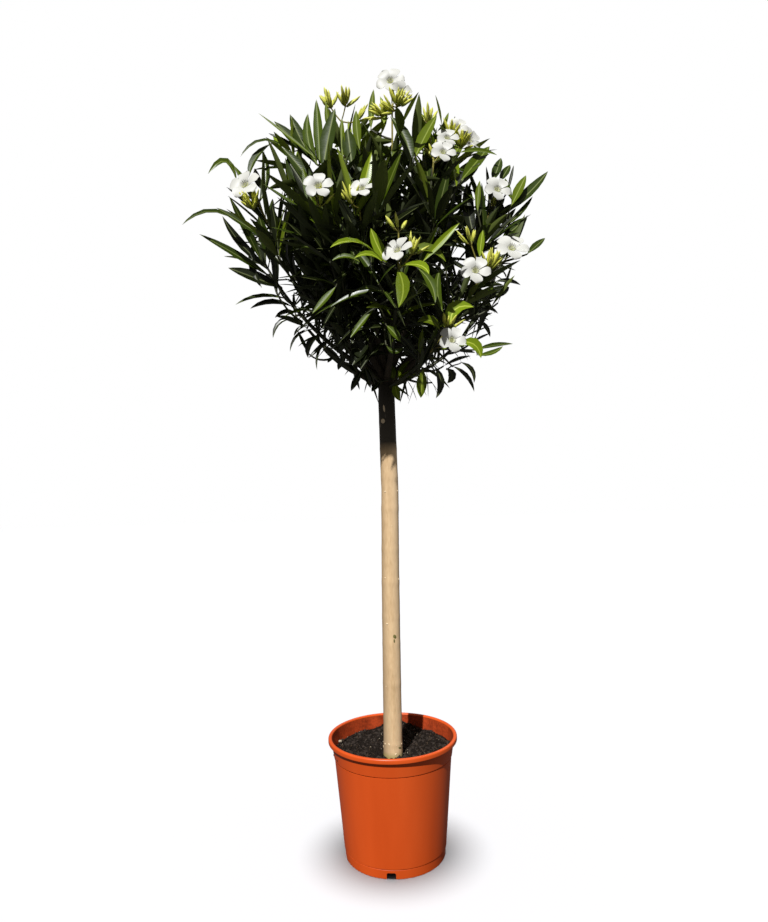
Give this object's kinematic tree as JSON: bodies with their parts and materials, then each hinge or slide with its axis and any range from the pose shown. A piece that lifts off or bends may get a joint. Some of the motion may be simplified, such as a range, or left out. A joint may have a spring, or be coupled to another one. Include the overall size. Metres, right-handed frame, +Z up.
{
  "type": "potted standard oleander",
  "caption": "White oleander grown as a standard: a bare slim stem with a round open crown of long narrow leaves and white blossom, in a terracotta-coloured plastic nursery pot",
  "frame": {"origin": "the middle of the pot's flat underside, on the ground", "axes": "+Z up along the stem; -Y is the side seen in the picture, with the stem set a little towards it; +X to the right seen from there"},
  "size_m": [0.7094, 0.7591, 1.6393],
  "materials": {
    "pot": "satin moulded plastic, terracotta orange",
    "soil": "moist dark potting mix, crumbly",
    "bark": "smooth pale tan bark with faint scars",
    "limb": "young grey-green bark",
    "foliage": "leathery dark green leaves with pale midribs, and white blossom"
  },
  "bodies": {
    "root": {"bough_back": "limb", "bough_back_left": "limb", "bough_back_right": "limb", "bough_far_left": "limb", "bough_front": "limb", "bough_front_left": "limb", "bough_front_middle": "limb", "bough_left": "limb", "bough_low_left": "limb", "bough_right": "limb", "bough_right_front": "limb", "bough_top": "limb", "bough_top_back": "limb", "bough_top_left": "limb", "bough_upper_back_left": "limb", "bough_upper_back_right": "limb", "bough_upper_front_right": "limb", "bough_upper_left": "limb", "bough_upper_right": "limb", "foliage_back": "foliage", "foliage_back_left": "foliage", "foliage_back_right": "foliage", "foliage_far_left": "foliage", "foliage_front": "foliage", "foliage_front_left": "foliage", "foliage_front_middle": "foliage", "foliage_left": "foliage", "foliage_low_back": "foliage", "foliage_low_back_left": "foliage", "foliage_low_back_right": "foliage", "foliage_low_far_right": "foliage", "foliage_low_front_left": "foliage", "foliage_low_left": "foliage", "foliage_low_right": "foliage", "foliage_right": "foliage", "foliage_right_front": "foliage", "foliage_top": "foliage", "foliage_top_back": "foliage", "foliage_top_left": "foliage", "foliage_upper_back_left": "foliage", "foliage_upper_back_right": "foliage", "foliage_upper_front_right": "foliage", "foliage_upper_left": "foliage", "foliage_upper_right": "foliage", "pot": "pot", "soil": "soil", "trunk": "bark"}
  },
  "joints": []
}
